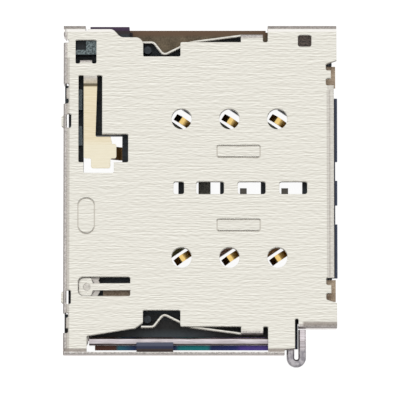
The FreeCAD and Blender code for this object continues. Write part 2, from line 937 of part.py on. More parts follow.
# Base frame: a flat stamping under the housing, open towards the contacts
def frame_outline():
    tab_far = d.far_stub + d.frame_tab_width / 2
    tab_near = -d.near_stub - d.frame_tab_width / 2
    return [
        (-d.frame_back, d.frame_far),
        (d.far_cut_back + d.relief, d.frame_far),
        (d.far_cut_back + d.relief, d.frame_flange),
        (d.slot_front - d.relief, d.frame_flange),
        (d.slot_front - d.relief, d.frame_far),
        (d.frame_mouth, d.frame_far),
        (d.frame_mouth, tab_far),
        (d.frame_tab, tab_far),
        (d.frame_tab, tab_far - d.frame_tab_width),
        (d.frame_tab_back, tab_far - d.frame_tab_width),
        (d.frame_tab_back, d.frame_far_bar),
        (-d.frame_back + d.frame_back_bar, d.frame_far_bar),
        (-d.frame_back + d.frame_back_bar, d.frame_pin_far),
        (d.frame_pin_front, d.frame_pin_far),
        (d.frame_pin_front, -d.frame_near_bar),
        (d.frame_tab_back, -d.frame_near_bar),
        (d.frame_tab_back, tab_near + d.frame_tab_width),
        (d.frame_tab, tab_near + d.frame_tab_width),
        (d.frame_tab, tab_near),
        (d.frame_mouth, tab_near),
        (d.frame_mouth, house_corner),
        (d.frame_corner, house_corner),
        (d.frame_corner, -d.frame_near),
        (d.drain_front, -d.frame_near),
        (d.drain_front, -d.drain_far),
        (d.drain_back, -d.drain_far),
        (d.drain_back, -d.frame_near),
        (-d.frame_back, -d.frame_near),
    ]


frame = new_body("base_frame")
prism(frame, "frame_sheet", 0, d.frame_gauge, frame_outline())
cut(frame, "pin_hole", 0, d.frame_gauge, circles=[(d.pivot_x, d.pivot_y, d.pin_radius)])


# Contacts: each is one strip, flat in a groove under the floor and sprung up through its cell
def turned(x, y, cos, sin, sign):
    """A point given along and across the beam, in the contact's own plan."""
    return (x * cos + y * sin, (y * cos - x * sin) * sign)


def lead_outline(sign, tail_x, tail_end):
    """The flat lead from the root of the beam to the solder tail."""
    half = d.beam_width / 2
    reach = d.beam_reach
    root_y = reach * beam_sin + d.tail_start
    return [
        turned(reach, half, beam_cos, beam_sin, sign),
        turned(reach + d.beam_flat, half, beam_cos, beam_sin, sign),
        (tail_x + half, -root_y * sign),
        (tail_x + half, -tail_end * sign),
        (tail_x - half, -tail_end * sign),
        (tail_x - half, -root_y * sign - half * sign),
        turned(reach, -half, beam_cos, beam_sin, sign),
    ]


def beam_side(reach, rise, flat):
    """Side view of a sprung beam: tip, rounded top, slope down to the flat root."""
    t = d.strip
    return [
        (-d.tip_lead, rise - d.tip_drop),
        (-d.tip_plateau / 2, rise, t),
        (d.tip_plateau, rise, t),
        (reach, t, t),
        (reach + flat, t),
        (reach + flat, 0),
        (reach - t / 4, 0, t),
        (d.tip_plateau - t / 4, rise - t, t / 2),
        (-d.tip_plateau / 4, rise - t, t / 2),
        (-d.tip_lead + t * 0.72, rise - d.tip_drop - t * 0.69),
    ]


def add_beam(body, turn, reach, rise, flat, width):
    side = new_sketch(body, "beam_side", "XZ_Plane", turn_axis=(0, 1, 0), turn=turn)
    draw(side, beam_side(reach, rise, flat))
    pad(body, "beam", side, width, middle=True)


contacts = []
rows = [("far", d.far_row, 1, d.far_tail), ("near", -d.near_row, -1, d.near_tail)]
for row_name, row_y, sign, tail_end in rows:
    for place_name, tip_x, tail_x in zip(("back", "mid", "front"), tips, tails):
        lead = lead_outline(sign, tail_x - tip_x, tail_end)
        contact = new_body("contact_%s_%s" % (row_name, place_name))
        add_beam(contact, d.beam_angle * -sign, d.beam_reach, d.beam_rise, d.beam_flat, d.beam_width)
        prism(contact, "lead", 0, d.strip, lead)
        contact.setExpression("Placement.Base.x", tip_x.text)
        contact.setExpression("Placement.Base.y", row_y.text)
        contacts.append((tip_x, row_y, sign, lead))

# Switch terminal under the head of the arm
switch = new_body("detect_terminal")
add_beam(switch, d.strip * 0, d.switch_reach, d.switch_rise, d.switch_tail, d.switch_width)
switch.setExpression("Placement.Base.x", d.switch_tip.text)
switch.setExpression("Placement.Base.y", d.switch_y.text)

# Housing: moulded floor with blocks that carry the cover
house = new_body("housing")
prism(
    house,
    "floor",
    0,
    d.floor_top,
    [
        (house_back, house_far),
        (d.far_floor_back, house_far),
        (d.far_floor_back, d.far_tab - d.leaf_knee_dip),
        (d.leaf_rise, d.far_tab - d.leaf_knee_dip),
        (d.leaf_valley, d.far_tab - d.leaf_valley_dip),
        (d.leaf_knee, d.far_tab - d.leaf_knee_dip),
        (d.tab_back, d.far_tab),
        (d.tab_back, d.far_floor),
        (d.far_floor_front, d.far_floor),
        (d.far_floor_front, house_far),
        (d.house_mouth, house_far),
        (d.house_mouth, house_corner),
        (d.frame_corner, house_corner),
        (d.frame_corner, rod_inner + d.rod_gap),
        (d.drain_back, rod_inner + d.rod_gap),
        (d.drain_back, house_near),
        (house_back, house_near),
    ],
)
cut(house, "frame_seat", 0, d.frame_gauge, frame_outline())
prism(
    house,
    "mouth_lips",
    0,
    d.house_lip_top,
    box_corners(d.house_mouth - d.fit, d.house_lip, d.lip_one_near, d.lip_one_far),
    box_corners(d.house_mouth - d.fit, d.house_lip, d.lip_two_near, d.lip_two_far),
    box_corners(d.house_mouth - d.fit, d.house_lip, d.lip_three_near, d.lip_three_far),
)
prism(
    house,
    "mouth_ledge",
    0,
    d.house_lip_top,
    box_corners(d.house_mouth - d.fit, d.house_ledge, d.lip_three_near, d.lip_one_far),
)
prism(
    house,
    "blocks",
    d.floor_top,
    plate_under,
    box_corners(house_back, d.far_block_front, d.far_block_near, house_far),
    box_corners(d.far_floor_front + d.fit, d.house_mouth, d.guide_near, house_far),
    box_corners(d.slit_front + d.fit, d.house_mouth, house_corner, -d.corner_block_far),
    box_corners(house_back, house_back + d.post_width, house_near, d.post_far),
)
prism(
    house,
    "rod_bed",
    0,
    d.rod_foot - d.slide_gap,
    box_corners(d.frame_corner, d.slit_front - d.fit, -d.bed_near, house_corner + d.fit),
)
prism(
    house,
    "shoulder",
    d.frame_gauge,
    d.shoulder_top,
    box_corners(d.shoulder_back, d.far_block_front, house_far - d.fit, d.shoulder_far),
)
prism(
    house,
    "back_ribs",
    d.floor_top,
    d.back_rib_top,
    box_corners(house_back, house_back + d.back_rib, d.rib_one_near, d.rib_one_far),
    box_corners(house_back, house_back + d.back_rib, d.rib_two_near, d.rib_two_far),
)
half_tab = d.back_stub_width / 2 - d.fit
prism(
    house,
    "back_tabs",
    d.frame_gauge,
    d.floor_top,
    *[
        box_corners(back + d.back_tab, house_back + d.fit, centre - half_tab, centre + half_tab)
        for centre in (d.back_stub_far, -d.back_stub_near)
    ],
)
cut(
    house,
    "key_pocket",
    plate_under - d.key_pocket,
    plate_under,
    box_corners(d.key_back, (d.key_back + d.key_front) / 2, (d.key_near + d.key_far) / 2, d.key_far),
)

# Boss that carries the lever, and the round stops beside the leaf springs
boss = new_sketch(house, "boss_plan", lift=d.floor_top)
draw_circle(boss, d.pivot_x, d.pivot_y, d.lever_hub)
pad(house, "boss", boss, d.pin_boss)
stop = new_sketch(house, "leaf_stops_plan", lift=d.floor_top)
draw_circle(stop, d.stop_x, d.far_stop, d.stop_radius)
draw_circle(stop, d.stop_x, -d.near_stop, d.stop_radius)
pad(house, "leaf_stops", stop, d.leaf_top - d.floor_top)

# Keeper that holds the rod down half way along its channel
keeper = new_sketch(house, "keeper_side", "YZ_Plane", lift=d.keeper_back)
keeper_top = d.frame_gauge + d.keeper_floor
keeper_wall = rod_outer - d.slide_gap
lip_foot = rod_top + d.slide_gap
draw(
    keeper,
    [
        (rod_inner + d.rod_gap + d.fit, d.frame_gauge),
        (inner_near + d.fit, d.frame_gauge),
        (inner_near + d.fit, lip_foot + d.keeper_lip_height),
        (rod_outer + d.keeper_lip, lip_foot + d.keeper_lip_height),
        (rod_outer + d.keeper_lip, lip_foot),
        (keeper_wall, lip_foot),
        (keeper_wall, keeper_top),
        (rod_inner + d.rod_gap + d.fit, keeper_top),
    ],
)
pad(house, "keeper", keeper, d.keeper_front - d.keeper_back)

# Cells for the beams, grooves for the leads, openings for soldering and for the switch
cells = []
grooves = []
for tip_x, row_y, sign, lead in contacts:
    cell = []
    for x, y in (
        (-d.cell_lead, d.cell_half),
        (d.beam_reach + d.cell_root, d.cell_half),
        (d.beam_reach + d.cell_root, -d.cell_half),
        (-d.cell_lead, -d.cell_half),
    ):
        across, along = turned(x, y, beam_cos, beam_sin, sign)
        cell.append((tip_x + across, row_y + along))
    cells.append(cell)
    grooves.append([(tip_x + x, row_y + y) for x, y in lead])
half_switch = d.switch_width / 2
switch_end = switch_root + d.switch_tail
grooves.append(box_corners(switch_root, switch_end, d.switch_y - half_switch, d.switch_y + half_switch))
last_view = d.view_three + d.window_pitch
views = [
    box_corners(d.view_one, d.view_one_end, -d.view_near, d.view_far),
    box_corners(d.view_gap, d.view_gap_end, -d.view_near, d.view_far),
    box_corners(d.view_two, d.view_two_end, -d.view_near, d.view_far),
    box_corners(d.view_three, d.view_three + d.view_last_length, -d.view_near, d.view_far),
    box_corners(last_view, last_view + d.view_last_length, -d.view_near, d.view_far),
    box_corners(d.switch_back, switch_root + d.cell_root, d.switch_near, d.switch_far),
    box_corners(d.sight_back, d.tongue_root, -d.sight_near, -d.sight_far),
]
half_frame_tab = d.frame_tab_width / 2
tab_start = d.mouth_relief - d.relief
tab_notches = [
    box_corners(tab_start, d.house_lip, centre - half_frame_tab, centre + half_frame_tab)
    for centre in (d.far_stub, -d.near_stub)
]
cut(house, "tab_notches", 0, d.floor_top, *tab_notches)
cut(house, "cells", 0, d.floor_top, *cells)
cut(house, "views", 0, d.floor_top, *views)
cut(house, "lead_grooves", 0, d.strip, *grooves)
cut(house, "pin_hole", 0, boss_top, circles=[(d.pivot_x, d.pivot_y, d.pin_radius)])

# Eject rod: strip on edge with broken edges and a hooked push pad
rod = new_body("eject_rod")
leg = d.wall_end + d.rod_stop + d.rod_gauge / 2
pad_x = leg + d.rod_gauge + d.hook_gap
hook_y = -d.hook_reach + d.rod_gauge / 2
rod_path = new_sketch(rod, "rod_path", lift=d.rod_foot + d.rod_height / 2)
draw(
    rod_path,
    [
        (d.rod_end, -d.rod_y),
        (leg, -d.rod_y, d.rod_bend),
        (leg, hook_y, d.rod_bend),
        (pad_x, hook_y, d.rod_bend),
        (pad_x, -d.pad_top),
    ],
    closed=False,
)
rod_section = new_sketch(rod, "rod_section", "YZ_Plane", lift=d.rod_end)
draw(
    rod_section,
    [
        (rod_outer + d.rod_edge, d.rod_foot),
        (rod_inner - d.rod_edge, d.rod_foot),
        (rod_inner, d.rod_foot + d.rod_edge),
        (rod_inner, rod_top - d.rod_edge),
        (rod_inner - d.rod_edge, rod_top),
        (rod_outer + d.rod_edge, rod_top),
        (rod_outer, rod_top - d.rod_edge),
        (rod_outer, d.rod_foot + d.rod_edge),
    ],
)
sweep(rod, "rod_strip", rod_path, rod_section)

# Eject lever: hub, short arm to the rod and long arm to the tray
lever = new_body("eject_lever")
nose_x = d.rod_end - d.nose_gap - d.nose_radius - d.pivot_x
nose_y = -d.rod_y - d.pivot_y
long_arm = length_of(d.lever_tip_x, d.lever_tip_y)
across_x = -d.lever_tip_y / long_arm
across_y = d.lever_tip_x / long_arm
half_arm = d.lever_arm_width / 2


def disc(name, x, y, radius):
    """A round end of the lever."""
    plan = new_sketch(lever, name + "_plan", lift=lever_foot)
    draw_circle(plan, x, y, radius)
    pad(lever, name, plan, d.lever_gauge)


disc("hub", 0, 0, d.lever_hub)
prism(
    lever,
    "short_arm",
    lever_foot,
    lever_top,
    [
        (-half_arm, 0),
        (half_arm, 0),
        (nose_x + d.nose_radius, nose_y),
        (nose_x - d.nose_radius, nose_y),
    ],
)
prism(
    lever,
    "long_arm",
    lever_foot,
    lever_top,
    [
        (across_x * half_arm, across_y * half_arm),
        (-across_x * half_arm, -across_y * half_arm),
        (d.lever_tip_x - across_x * d.lever_tip_radius, d.lever_tip_y - across_y * d.lever_tip_radius),
        (d.lever_tip_x + across_x * d.lever_tip_radius, d.lever_tip_y + across_y * d.lever_tip_radius),
    ],
)
disc("nose", nose_x, nose_y, d.nose_radius)
disc("tip", d.lever_tip_x, d.lever_tip_y, d.lever_tip_radius)
cut(lever, "bore", lever_foot, lever_top, circles=[(0, 0, d.pin_radius + d.pin_play)])
lever.setExpression("Placement.Base.x", d.pivot_x.text)
lever.setExpression("Placement.Base.y", d.pivot_y.text)

# Pin of the lever, riveted into the base frame
pin = new_body("lever_pin")
half_pin = new_sketch(pin, "pin_half", "XZ_Plane")
pin_top = pin_head_foot + d.pin_head_height
draw(
    half_pin,
    [
        (0, 0),
        (d.pin_radius, 0),
        (d.pin_radius, pin_head_foot),
        (d.pin_head, pin_head_foot),
        (d.pin_head, pin_top - d.pin_head_height / 2),
        (d.pin_head - d.pin_head_height / 2, pin_top),
        (0, pin_top),
    ],
)
turning = pin.newObject("PartDesign::Revolution", "pin_turning")
turning.Profile = half_pin
turning.ReferenceAxis = (half_pin, ["V_Axis"])
turning.Angle = 360
half_pin.Visibility = False
pin.setExpression("Placement.Base.x", d.pivot_x.text)
pin.setExpression("Placement.Base.y", d.pivot_y.text)
doc.recompute()

# Every object is sound before its part is written
for item in doc.Objects:
    if "Invalid" in item.State or "Error" in item.State:
        raise RuntimeError("%s is not sound: %s" % (item.Name, item.State))
os.makedirs("parts", exist_ok=True)
for item in doc.Objects:
    if item.TypeId != "PartDesign::Body":
        continue
    shape = item.Shape
    if shape.isNull() or not shape.isValid() or len(shape.Solids) != 1:
        raise RuntimeError("%s has no single sound solid" % item.Label)
    shape.exportStep("parts/%s.step" % item.Label)
    print(item.Label, "%.3f mm3" % shape.Volume, shape.BoundBox)
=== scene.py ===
# %% [markdown]
# # A sim card reader, dressed for its portrait
# The reader is a tray slot for a phone's board: a stamped steel cover over a black moulded
# housing, six sprung card contacts, and a rod and lever that push the tray out again.
# The shapes come in ready made, at their real size, so this lesson is about light and finish. It
# adds only six slim ribs beside the contacts.

# %% The frame that everything sits on
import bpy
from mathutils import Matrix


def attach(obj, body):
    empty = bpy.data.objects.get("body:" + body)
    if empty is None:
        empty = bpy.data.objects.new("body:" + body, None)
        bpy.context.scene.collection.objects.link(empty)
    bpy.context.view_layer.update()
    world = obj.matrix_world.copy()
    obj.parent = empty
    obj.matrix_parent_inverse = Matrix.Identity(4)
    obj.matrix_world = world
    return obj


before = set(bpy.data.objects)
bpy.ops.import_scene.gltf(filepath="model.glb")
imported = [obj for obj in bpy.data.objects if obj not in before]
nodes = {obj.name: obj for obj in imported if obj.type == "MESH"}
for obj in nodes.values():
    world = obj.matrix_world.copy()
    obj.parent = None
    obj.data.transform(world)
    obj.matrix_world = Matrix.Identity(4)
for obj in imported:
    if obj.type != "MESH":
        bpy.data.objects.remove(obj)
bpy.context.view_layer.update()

import math

import bpy
from mathutils import Vector

MM = 0.001
print("pieces:", sorted(nodes))

# %% [markdown]
# ## The camera
# The portrait is taken from almost straight above, leaning five degrees towards the rod side,
# with a very long lens. A wide lens would lean every wall outwards; a long one keeps them upright.
# The picture spans a little over 21 mm, so the lens and that span give the distance.

# %% A long lens, five degrees off the vertical
PICTURE_SPAN = 21.19 * MM
LEAN = math.radians(5)
LENS = 400
SENSOR = 36
aim = Vector((0.0, -0.50, 1.50)) * MM
distance = PICTURE_SPAN * LENS / SENSOR
towards = Vector((0, -math.sin(LEAN), math.cos(LEAN)))
lens = bpy.data.cameras.new("portrait_lens")
lens.lens = LENS
lens.sensor_width = SENSOR
lens.clip_start = distance / 100
lens.clip_end = distance * 10
camera = bpy.data.objects.new("portrait_camera", lens)
camera.location = aim + towards * distance
camera.rotation_euler = (LEAN, 0, 0)
bpy.context.scene.collection.objects.link(camera)
bpy.context.scene.camera = camera
print("camera %.0f mm away" % (distance / MM))

# %% [markdown]
# ## Two small tools
# Colours are written as they would be picked from a paint chart, in sRGB, and turned to the
# linear light that the renderer counts in. The second tool adds one node to a material with its
# settings and links, so that a finish reads from top to bottom.

# %% Colours and nodes
def linear(chart):
    """An sRGB hex colour as linear red, green, blue and alpha."""
    parts = [int(chart[i:i + 2], 16) / 255 for i in (1, 3, 5)]
    return [p / 12.92 if p <= 0.04045 else ((p + 0.055) / 1.055) ** 2.4 for p in parts] + [1.0]


def add(tree, kind, inputs=None, **settings):
    """A new node with its settings; an input is a number, a colour or another node's output."""
    node = tree.nodes.new("ShaderNode" + kind)
    for name, value in settings.items():
        setattr(node, name, value)
    for socket, value in (inputs or {}).items():
        if isinstance(value, bpy.types.NodeSocket):
            tree.links.new(value, node.inputs[socket])
        else:
            node.inputs[socket].default_value = value
    return node


# Sockets of a Mix node: plain numbers go in at LOW and HIGH, colours at FIRST and SECOND
FACTOR, LOW, HIGH, FIRST, SECOND, MIXED = 0, 2, 3, 6, 7, 2
# Sockets of a Map Range node: START gives LEAST and FULL gives MOST, which are 0 and 1 unless set
VALUE, START, FULL, LEAST, MOST = 0, 1, 2, 3, 4
print("steel white is", [round(v, 2) for v in linear("#E9E6DF")[:3]])

# %% [markdown]
# ## The stage
# A pale floor carries the reader and keeps its soft shadow. To the camera it glows a little, so
# that it comes out white without more light on the reader. The room is white overhead and dimmer
# towards the walls, as round a tent with a soft box on top: flat steel then mirrors the bright
# ceiling, and each bend, which looks at the walls, comes out as a darker line.

# %% The floor
def seen_directly(tree):
    """One for what the camera, a mirror or a glass sees, nothing for diffuse light."""
    path = add(tree, "LightPath")
    seen = path.outputs["Is Camera Ray"]
    for ray in ("Is Glossy Ray", "Is Transmission Ray"):
        seen = add(tree, "Math", {0: seen, 1: path.outputs[ray]}, operation="MAXIMUM").outputs[0]
    return seen


FLOOR_HALF = 0.6
FLOOR_DROP = 0.01 * MM
FLOOR_GLOW = 0.94
PAPER_SHARE = 0.3
corners = [(-1, -1), (1, -1), (1, 1), (-1, 1)]
floor_mesh = bpy.data.meshes.new("floor")
floor_points = [(x * FLOOR_HALF, y * FLOOR_HALF, -FLOOR_DROP) for x, y in corners]
floor_mesh.from_pydata(floor_points, [], [(0, 1, 2, 3)])
floor = bpy.data.objects.new("floor", floor_mesh)
bpy.context.scene.collection.objects.link(floor)
paper = bpy.data.materials.new("white_paper_floor")
paper.use_nodes = True
tree = paper.node_tree
tree.nodes.clear()
matte = add(tree, "BsdfDiffuse", {"Color": linear("#FFFFFF")})
glow = add(tree, "Emission", {"Color": (1, 1, 1, 1)})
strength = add(tree, "Math", {0: seen_directly(tree), 1: FLOOR_GLOW}, operation="MULTIPLY")
tree.links.new(strength.outputs[0], glow.inputs["Strength"])
dim = add(tree, "MixShader", {0: PAPER_SHARE, 2: matte.outputs[0]})
both = add(tree, "AddShader", {0: dim.outputs[0], 1: glow.outputs[0]})
add(tree, "OutputMaterial", {"Surface": both.outputs[0]})
floor.data.materials.append(paper)
print("floor", floor.name, "wears", paper.name)

# %% The room
ROOM_LIGHT = 0.45
WALL_TONE = 0.42
WALL_TOP, CEILING_START = 0.10, 0.92
room = bpy.data.worlds.new("soft_box_room")
bpy.context.scene.world = room
room.use_nodes = True
tree = room.node_tree
tree.nodes.clear()
way = add(tree, "TexCoord")
height = add(tree, "SeparateXYZ", {0: way.outputs["Generated"]})
upwards = {VALUE: height.outputs["Z"], START: WALL_TOP, FULL: CEILING_START, LEAST: WALL_TONE}
ceiling = add(tree, "MapRange", upwards, interpolation_type="SMOOTHSTEP")
path = add(tree, "LightPath")
mirrored = add(
    tree, "Mix",
    {FACTOR: path.outputs["Is Glossy Ray"], LOW: ROOM_LIGHT, HIGH: ceiling.outputs[0]},
)
direct = [path.outputs["Is Camera Ray"], path.outputs["Is Transmission Ray"]]
open_view = add(tree, "Math", {0: direct[0], 1: direct[1]}, operation="MAXIMUM")
level = add(tree, "Mix", {FACTOR: open_view.outputs[0], LOW: mirrored.outputs[0], HIGH: 1.0})
sky = add(tree, "Background", {"Color": (1, 1, 1, 1), "Strength": level.outputs[0]})
add(tree, "OutputWorld", {"Surface": sky.outputs[0]})
print("room:", room.name)

# %% Two soft boxes
def soft_box(name, place, edge, watts):
    """A square lamp that looks at the reader; the steel mirrors the room and not the lamp."""
    lamp = bpy.data.lights.new(name, "AREA")
    lamp.shape = "SQUARE"
    lamp.size = edge
    lamp.energy = watts
    holder = bpy.data.objects.new(name, lamp)
    holder.location = place
    holder.rotation_euler = (aim - Vector(place)).to_track_quat("-Z", "Y").to_euler()
    holder.visible_glossy = False
    bpy.context.scene.collection.objects.link(holder)


soft_box("key_soft_box", place=(-0.16, 0.12, 0.26), edge=0.36, watts=0.28)
soft_box("fill_soft_box", place=(0.22, -0.12, 0.22), edge=0.30, watts=0.09)
bpy.context.scene.view_settings.view_transform = "Standard"
print("lamps:", len(bpy.data.lights))

# %% [markdown]
# ## Places on the metal
# Every pattern is laid out in millimetres of the reader itself, so a mark that is 0.3 mm long on
# the sheet is 0.3 mm long here. One function makes a new finish and gives its node tree, its
# position in millimetres and the shader to fill in.

# %% A new finish, measured in millimetres
def new_finish(name, **sockets):
    """A material with its shader set; returns it, its tree, its place in mm and its shader."""
    finish = bpy.data.materials.new(name)
    finish.use_nodes = True
    tree = finish.node_tree
    tree.nodes.clear()
    settings = {key.replace("_", " "): value for key, value in sockets.items()}
    shader = add(tree, "BsdfPrincipled", settings)
    add(tree, "OutputMaterial", {"Surface": shader.outputs[0]})
    where = add(tree, "TexCoord")
    metres = {0: where.outputs["Object"], "Scale": 1 / MM}
    place = add(tree, "VectorMath", metres, operation="SCALE")
    return finish, tree, place.outputs[0], shader


def strip(tree, coordinate, middle, reach, full):
    """One within full of the middle, fading to nothing at reach."""
    offset = add(tree, "Math", {0: coordinate, 1: middle}, operation="SUBTRACT")
    size = add(tree, "Math", {0: offset.outputs[0]}, operation="ABSOLUTE")
    return add(tree, "MapRange", {VALUE: size.outputs[0], START: reach, FULL: full}).outputs[0]


def wear(node_name, finish):
    """A piece puts on one finish all over."""
    piece = nodes[node_name]
    piece.data.materials.clear()
    piece.data.materials.append(finish)


# A noise keeps near its middle, so a ramp over it starts and ends there, softly or more firmly
SOFT = {START: 0.30, FULL: 0.70}
FIRM = {START: 0.35, FULL: 0.65}
HARD = {START: 0.40, FULL: 0.60}
print("patterns are laid out in millimetres")

# %% [markdown]
# ## Rolled stainless steel
# The cover is stamped from 0.15 mm stainless strip. Rolling leaves fine, straight grooves along
# the strip, here along X, and each groove's lit and shaded side is painted into the colour as
# painted highlight and painted shade. They could be modelled as scratches, but at this depth a
# noise that is stretched along X does the same for less. It is read in rows one groove wide, which
# keeps the grooves straight, and each row is set against the next: where the noise falls the
# colour gets painted shade, and where it rises painted highlight. Real grooves are a few
# micrometres wide, too fine to show, so they are drawn about as wide as one picture point. The hop
# keeps neighbouring rows far apart in the noise, so that each row has grooves of its own.

# %% Streaks of the rolled sheet
STREAK_LENGTHS = (0.32, 1.8)
STREAK_WIDTH = 0.05
ROW_HOP = 3.7
LIT_REACH = 0.28
GROOVE_DEPTH = 0.004 * MM
steel, tree, place, shader = new_finish("rolled_stainless_steel", Metallic=1.0, Roughness=0.34)
heights = []
for shift in (0.0, STREAK_WIDTH):
    moved = add(tree, "VectorMath", {0: place, 1: (0.0, shift, 0.0)}, operation="ADD")
    row = (MM, STREAK_WIDTH, STREAK_WIDTH)
    rows = add(tree, "VectorMath", {0: moved.outputs[0], 1: row}, operation="SNAP")
    layers = []
    for length in STREAK_LENGTHS:
        pace = (1 / length, ROW_HOP / STREAK_WIDTH, ROW_HOP / STREAK_WIDTH)
        stretched = add(tree, "VectorMath", {0: rows.outputs[0], 1: pace}, operation="MULTIPLY")
        noise = {"Vector": stretched.outputs[0], "Scale": 1.0, "Detail": 0.0}
        layers.append(add(tree, "TexNoise", noise).outputs[0])
    heights.append(add(tree, "Mix", {FACTOR: 0.5, LOW: layers[0], HIGH: layers[1]}).outputs[0])
ridge = (1 / STREAK_LENGTHS[0], 1 / STREAK_WIDTH, 1 / STREAK_WIDTH)
along_ridges = add(tree, "VectorMath", {0: place, 1: ridge}, operation="MULTIPLY")
grain = add(tree, "TexNoise", {"Vector": along_ridges.outputs[0], "Scale": 1.0, "Detail": 0.0})
slope = add(tree, "Math", {0: heights[0], 1: heights[1]}, operation="SUBTRACT")
# Painted highlight where the noise rises from row to row, painted shade where it falls
tone = add(tree, "MapRange", {VALUE: slope.outputs[0], START: -LIT_REACH, FULL: LIT_REACH})
groove_shade_tone = add(
    tree, "Mix",
    {FACTOR: tone.outputs[0], FIRST: linear("#D4D0C5"), SECOND: linear("#FFFDF4")},
    data_type="RGBA",
)
dullness = add(tree, "MapRange", {VALUE: grain.outputs[0], **SOFT, LEAST: 0.42, MOST: 0.30})
ridges = add(tree, "Bump", {"Strength": 0.3, "Distance": GROOVE_DEPTH, "Height": grain.outputs[0]})
tree.links.new(dullness.outputs[0], shader.inputs["Roughness"])
tree.links.new(ridges.outputs[0], shader.inputs["Normal"])
print("streaks every %.3f mm" % STREAK_WIDTH)

# %% [markdown]
# ## Bends, coined lines and the sprung arm
# Where the sheet is bent its skin stretches and turns speckled. A ramp over the tilt also paints
# each bend with painted shade and painted highlight, as the mirrored walls would give it, with a
# line of painted shade where the bend starts and painted highlight along the near and far edges.
# Each bend could wear a material of its own, but the cover is one sheet and its marks fade out. How
# far the surface tilts tells where a bend is, so a ramp over the tilt paints it. The floors of the
# coined outlines, a few hundredths deep, are painted a little darker as shade in the grooves, and
# their depth finds them. A grey spot of painted shade, speckled like a bend, sits on the tongue's
# head. The arm that is sprung down into the slot is creamier, and tan with painted shade where it
# is folded at its root, darkest in the crease.

# %% Stretched skin along the bends
STRETCH = 0.10
BEND_START, BEND_FULL = 0.995, 0.97
NEAR_GLEAM, GLEAM_REACH, GLEAM = -8.56, 0.14, 1.13
surface = add(tree, "TexCoord")
facing = add(tree, "SeparateXYZ", {0: surface.outputs["Normal"]})
# One on flat sheet, nothing on an upright wall
upright = add(tree, "Math", {0: facing.outputs["Z"]}, operation="ABSOLUTE")
# Painted shade and painted highlight by tilt, as mirrored walls give a bend; the speckle is real
# stretch
tilt_shade_ramp = add(tree, "ValToRGB", {0: upright.outputs[0]})
tilt_shade_ramp.color_ramp.elements[0].color = linear("#C4BCB8")
tilt_shade_ramp.color_ramp.elements[1].color = linear("#D6D1C9")
for tilt, colour in (
    (0.30, "#9A9390"), (0.50, "#7C7572"), (0.64, "#A8A09C"),
    (0.76, "#F5EFEA"), (0.92, "#F0E9E3"), (0.97, "#C5BDB6"),
):
    tilt_shade_ramp.color_ramp.elements.new(tilt).color = linear(colour)
speckle = add(tree, "TexNoise", {"Vector": place, "Scale": 1 / STRETCH, "Detail": 2.0})
stretch = add(tree, "MapRange", {VALUE: speckle.outputs[0], **FIRM, LEAST: 0.70, MOST: 1.10})
on_bend = add(tree, "MapRange", {VALUE: upright.outputs[0], START: 0.05, FULL: 0.40, LEAST: 0.25})
marks = add(tree, "Mix", {FACTOR: on_bend.outputs[0], LOW: 1.0, HIGH: stretch.outputs[0]})
spot = add(tree, "SeparateXYZ", {0: place})
# A painted highlight brightens the bend along the near edge
near_edge = {VALUE: spot.outputs["Y"], START: NEAR_GLEAM + GLEAM_REACH, FULL: NEAR_GLEAM}
near_gleam = add(tree, "MapRange", {**near_edge, LEAST: 1.0, MOST: GLEAM})
lit_marks = add(tree, "Math", {0: marks.outputs[0], 1: near_gleam.outputs[0]}, operation="MULTIPLY")
marked_skin = {0: tilt_shade_ramp.outputs[0], "Scale": lit_marks.outputs[0]}
speckled_tilt_shade = add(tree, "VectorMath", marked_skin, operation="SCALE")
bent = add(tree, "MapRange", {VALUE: upright.outputs[0], START: BEND_START, FULL: BEND_FULL})
bend_tone = add(
    tree, "Mix",
    {FACTOR: bent.outputs[0], FIRST: groove_shade_tone.outputs[MIXED], SECOND: speckled_tilt_shade.outputs[0]},
    data_type="RGBA",
)
print("stretch marks every %.2f mm" % STRETCH)

# %% Painted shade lines where the bends start
# Across which axis, where, how wide, how strong; along which axis, middle and half length
BEND_SHADE_LINES = (
    ("X", -7.00, 0.11, 0.45, "Y", -0.75, 7.9),
    ("Y", -8.45, 0.11, 0.85, "X", -1.00, 6.3),
    ("Y", -7.07, 0.15, 0.80, "X", 6.40, 1.0),
    ("Y", 8.685, 0.08, 0.60, "X", 0.00, 7.4),
    ("X", 6.745, 0.04, 0.30, "Y", 0.40, 5.0),
    ("X", 6.870, 0.06, 0.35, "Y", 0.40, 5.0),
)
LINE_FADE = 0.1
FAR_GLEAM = 8.55
# Painted shade where each bend starts, mottled by the stretch speckle
bend_line_shade = add(
    tree, "Mix",
    {FACTOR: stretch.outputs[0], FIRST: linear("#564E49"), SECOND: linear("#9F958D")},
    data_type="RGBA",
)
facing_up = add(tree, "MapRange", {VALUE: upright.outputs[0], START: 0.2, FULL: 0.4})
marked = bend_tone.outputs[MIXED]
for axis, start, reach, share, along, middle, half in BEND_SHADE_LINES:
    across = strip(tree, spot.outputs[axis], start, reach, reach / 2)
    within = strip(tree, spot.outputs[along], middle, half, half - LINE_FADE)
    line = add(tree, "Math", {0: across, 1: within}, operation="MULTIPLY")
    seen = add(tree, "Math", {0: line.outputs[0], 1: facing_up.outputs[0]}, operation="MULTIPLY")
    part = add(tree, "Math", {0: seen.outputs[0], 1: share}, operation="MULTIPLY")
    marked = add(
        tree, "Mix",
        {FACTOR: part.outputs[0], FIRST: marked, SECOND: bend_line_shade.outputs[MIXED]},
        data_type="RGBA",
    ).outputs[MIXED]
# A painted highlight along the far edge
gleam = strip(tree, spot.outputs["Y"], FAR_GLEAM, reach=0.10, full=0.05)
marked = add(
    tree, "Mix", {FACTOR: gleam, FIRST: marked, SECOND: linear("#FBF8F3")}, data_type="RGBA"
).outputs[MIXED]
print("die lines:", len(BEND_SHADE_LINES))
